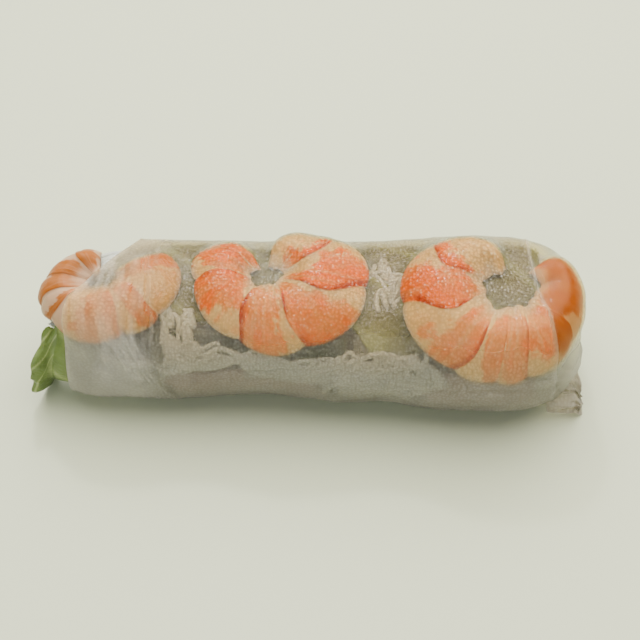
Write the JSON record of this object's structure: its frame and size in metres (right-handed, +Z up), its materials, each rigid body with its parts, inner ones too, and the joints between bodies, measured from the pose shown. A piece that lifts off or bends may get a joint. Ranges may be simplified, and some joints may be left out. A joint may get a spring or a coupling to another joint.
{
  "type": "rice paper roll",
  "caption": "Fresh rice paper roll with shrimp, lettuce, cucumber, beef and rice vermicelli showing through the wet wrapper, open at one end.",
  "frame": {"origin": "middle of the roll's footprint on the surface it rests on", "axes": "+X along the roll from its open end to its folded end, +Y from its front to its back, +Z up"},
  "size_m": [0.1432, 0.0492, 0.0441],
  "materials": {
    "rice_paper": "wet, translucent rice paper with a fine woven print",
    "shrimp": "boiled shrimp, orange shell bands on white flesh",
    "lettuce": "crisp green leaf",
    "cucumber": "dark green skin with pale flesh behind it",
    "beef": "grey-brown cooked slice",
    "vermicelli": "soft white rice noodles"
  },
  "bodies": {
    "root": {"rice_paper": "rice_paper", "shrimp_left": "shrimp", "shrimp_middle": "shrimp", "shrimp_right": "shrimp", "lettuce": "lettuce", "cucumber": "cucumber", "beef_left": "beef", "beef_right": "beef", "vermicelli": "vermicelli"}
  },
  "joints": []
}
